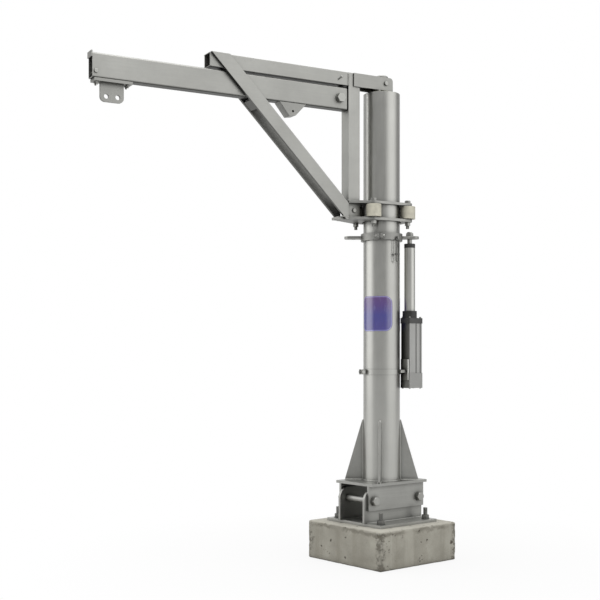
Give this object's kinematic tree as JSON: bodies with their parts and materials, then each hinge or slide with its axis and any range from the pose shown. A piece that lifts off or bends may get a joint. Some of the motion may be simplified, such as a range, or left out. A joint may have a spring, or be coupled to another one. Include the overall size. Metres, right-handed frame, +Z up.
{
  "type": "davit crane",
  "caption": "Fold-down davit crane: round lift mast on a hinged foot, linear actuator, and a swing frame on rollers with a sliding boom and hanger plate.",
  "frame": {"origin": "on the mast axis, at the middle of the concrete block's underside", "axes": "+Z up along the mast; X along the foot's long axis, and the mast folds down towards -X; the boom points 169.5 degrees from +X"},
  "size_m": [1.6142, 0.5297, 2.22],
  "materials": {
    "satin_steel": "satin",
    "bright_steel": "satin",
    "aluminium": "satin",
    "concrete": "matte",
    "black_plastic": "matte",
    "black_paint": "satin",
    "nylon": "matte",
    "bronze": "satin"
  },
  "bodies": {
    "footing": {"footing_block": "concrete", "base_plate": "satin_steel", "anchor_studs": "bright_steel", "anchor_nuts": "bright_steel", "channel_cheeks": "satin_steel"},
    "lower_mast": {"saddle": "satin_steel", "hinge_bolts": "bright_steel", "hinge_nuts": "bright_steel", "mast_gussets": "satin_steel", "lower_mast": "satin_steel", "mouth_bush": "nylon", "clamp_band": "satin_steel", "actuator_bracket": "satin_steel", "actuator_body": "aluminium", "actuator_gearbox": "aluminium", "actuator_flange": "aluminium", "actuator_collar": "black_plastic", "actuator_tube": "bright_steel", "actuator_cap": "black_plastic", "actuator_motor": "black_paint", "lead_screw": "bright_steel", "drive_gears": "bronze"},
    "upper_mast": {"upper_mast": "satin_steel", "guide_tube": "bright_steel", "guide_bush": "nylon", "collar_halves": "satin_steel", "collar_screws": "bright_steel", "lift_ears": "satin_steel", "actuator_rod": "bright_steel", "drive_nut": "bronze", "rod_nut": "bright_steel", "top_plug": "satin_steel", "plug_bolts": "bright_steel", "head_bearing": "bronze"},
    "swing_frame": {"frame_post": "satin_steel", "top_beam": "satin_steel", "top_bracket": "satin_steel", "spindle": "bright_steel", "spindle_cap": "satin_steel", "frame_bolts": "bright_steel", "braces": "satin_steel", "boom_rest": "satin_steel", "glide_pads": "black_plastic", "roller_plates": "satin_steel", "roller_bolts": "bright_steel", "roller_nuts": "bright_steel", "roller_sleeves": "bright_steel", "rear_lug": "satin_steel"},
    "boom": {"boom": "satin_steel", "boom_lugs": "satin_steel", "boom_bolt": "bright_steel", "hanger": "satin_steel", "hanger_bolts": "bright_steel", "tip_bolt": "bright_steel"},
    "roller_1": {"roller_1": "nylon"},
    "roller_2": {"roller_2": "nylon"},
    "roller_3": {"roller_3": "nylon"},
    "roller_4": {"roller_4": "nylon"},
    "snap_link": {"snap_link": "bright_steel"}
  },
  "joints": [
    {"name": "mast_tilt", "type": "hinge", "parent": "footing", "child": "lower_mast", "pos_m": [-0.14, 0, 0.286], "axis": [0, -1, 0], "range_deg": [0, 90]},
    {"name": "mast_lift", "type": "slide", "parent": "lower_mast", "child": "upper_mast", "axis": [0, 0, 1], "range_m": [0, 0.2]},
    {"name": "slew", "type": "hinge", "parent": "upper_mast", "child": "swing_frame", "pos_m": [0, 0, 1.589], "axis": [0, 0, 1], "continuous": true},
    {"name": "boom_extend", "type": "slide", "parent": "swing_frame", "child": "boom", "axis": [-0.9833, 0.1822, 0], "range_m": [0, 0.08]},
    {"name": "roller_1_spin", "type": "hinge", "parent": "swing_frame", "child": "roller_1", "pos_m": [-0.10507, -0.05681, 1.589], "axis": [0, 0, 1], "continuous": true},
    {"name": "roller_2_spin", "type": "hinge", "parent": "swing_frame", "child": "roller_2", "pos_m": [-0.07773, 0.09069, 1.589], "axis": [0, 0, 1], "continuous": true},
    {"name": "roller_3_spin", "type": "hinge", "parent": "swing_frame", "child": "roller_3", "pos_m": [0.07773, -0.09069, 1.589], "axis": [0, 0, 1], "continuous": true},
    {"name": "roller_4_spin", "type": "hinge", "parent": "swing_frame", "child": "roller_4", "pos_m": [0.10507, 0.05681, 1.589], "axis": [0, 0, 1], "continuous": true},
    {"name": "snap_swing", "type": "hinge", "parent": "upper_mast", "child": "snap_link", "pos_m": [0, -0.10205, 1.469], "axis": [-1, 0, 0], "range_deg": [0, 70]}
  ],
  "couplings": [
    {"joint": "roller_1_spin", "follows": "slew", "ratio": 2.4043},
    {"joint": "roller_2_spin", "follows": "slew", "ratio": 2.4043},
    {"joint": "roller_3_spin", "follows": "slew", "ratio": 2.4043},
    {"joint": "roller_4_spin", "follows": "slew", "ratio": 2.4043}
  ]
}
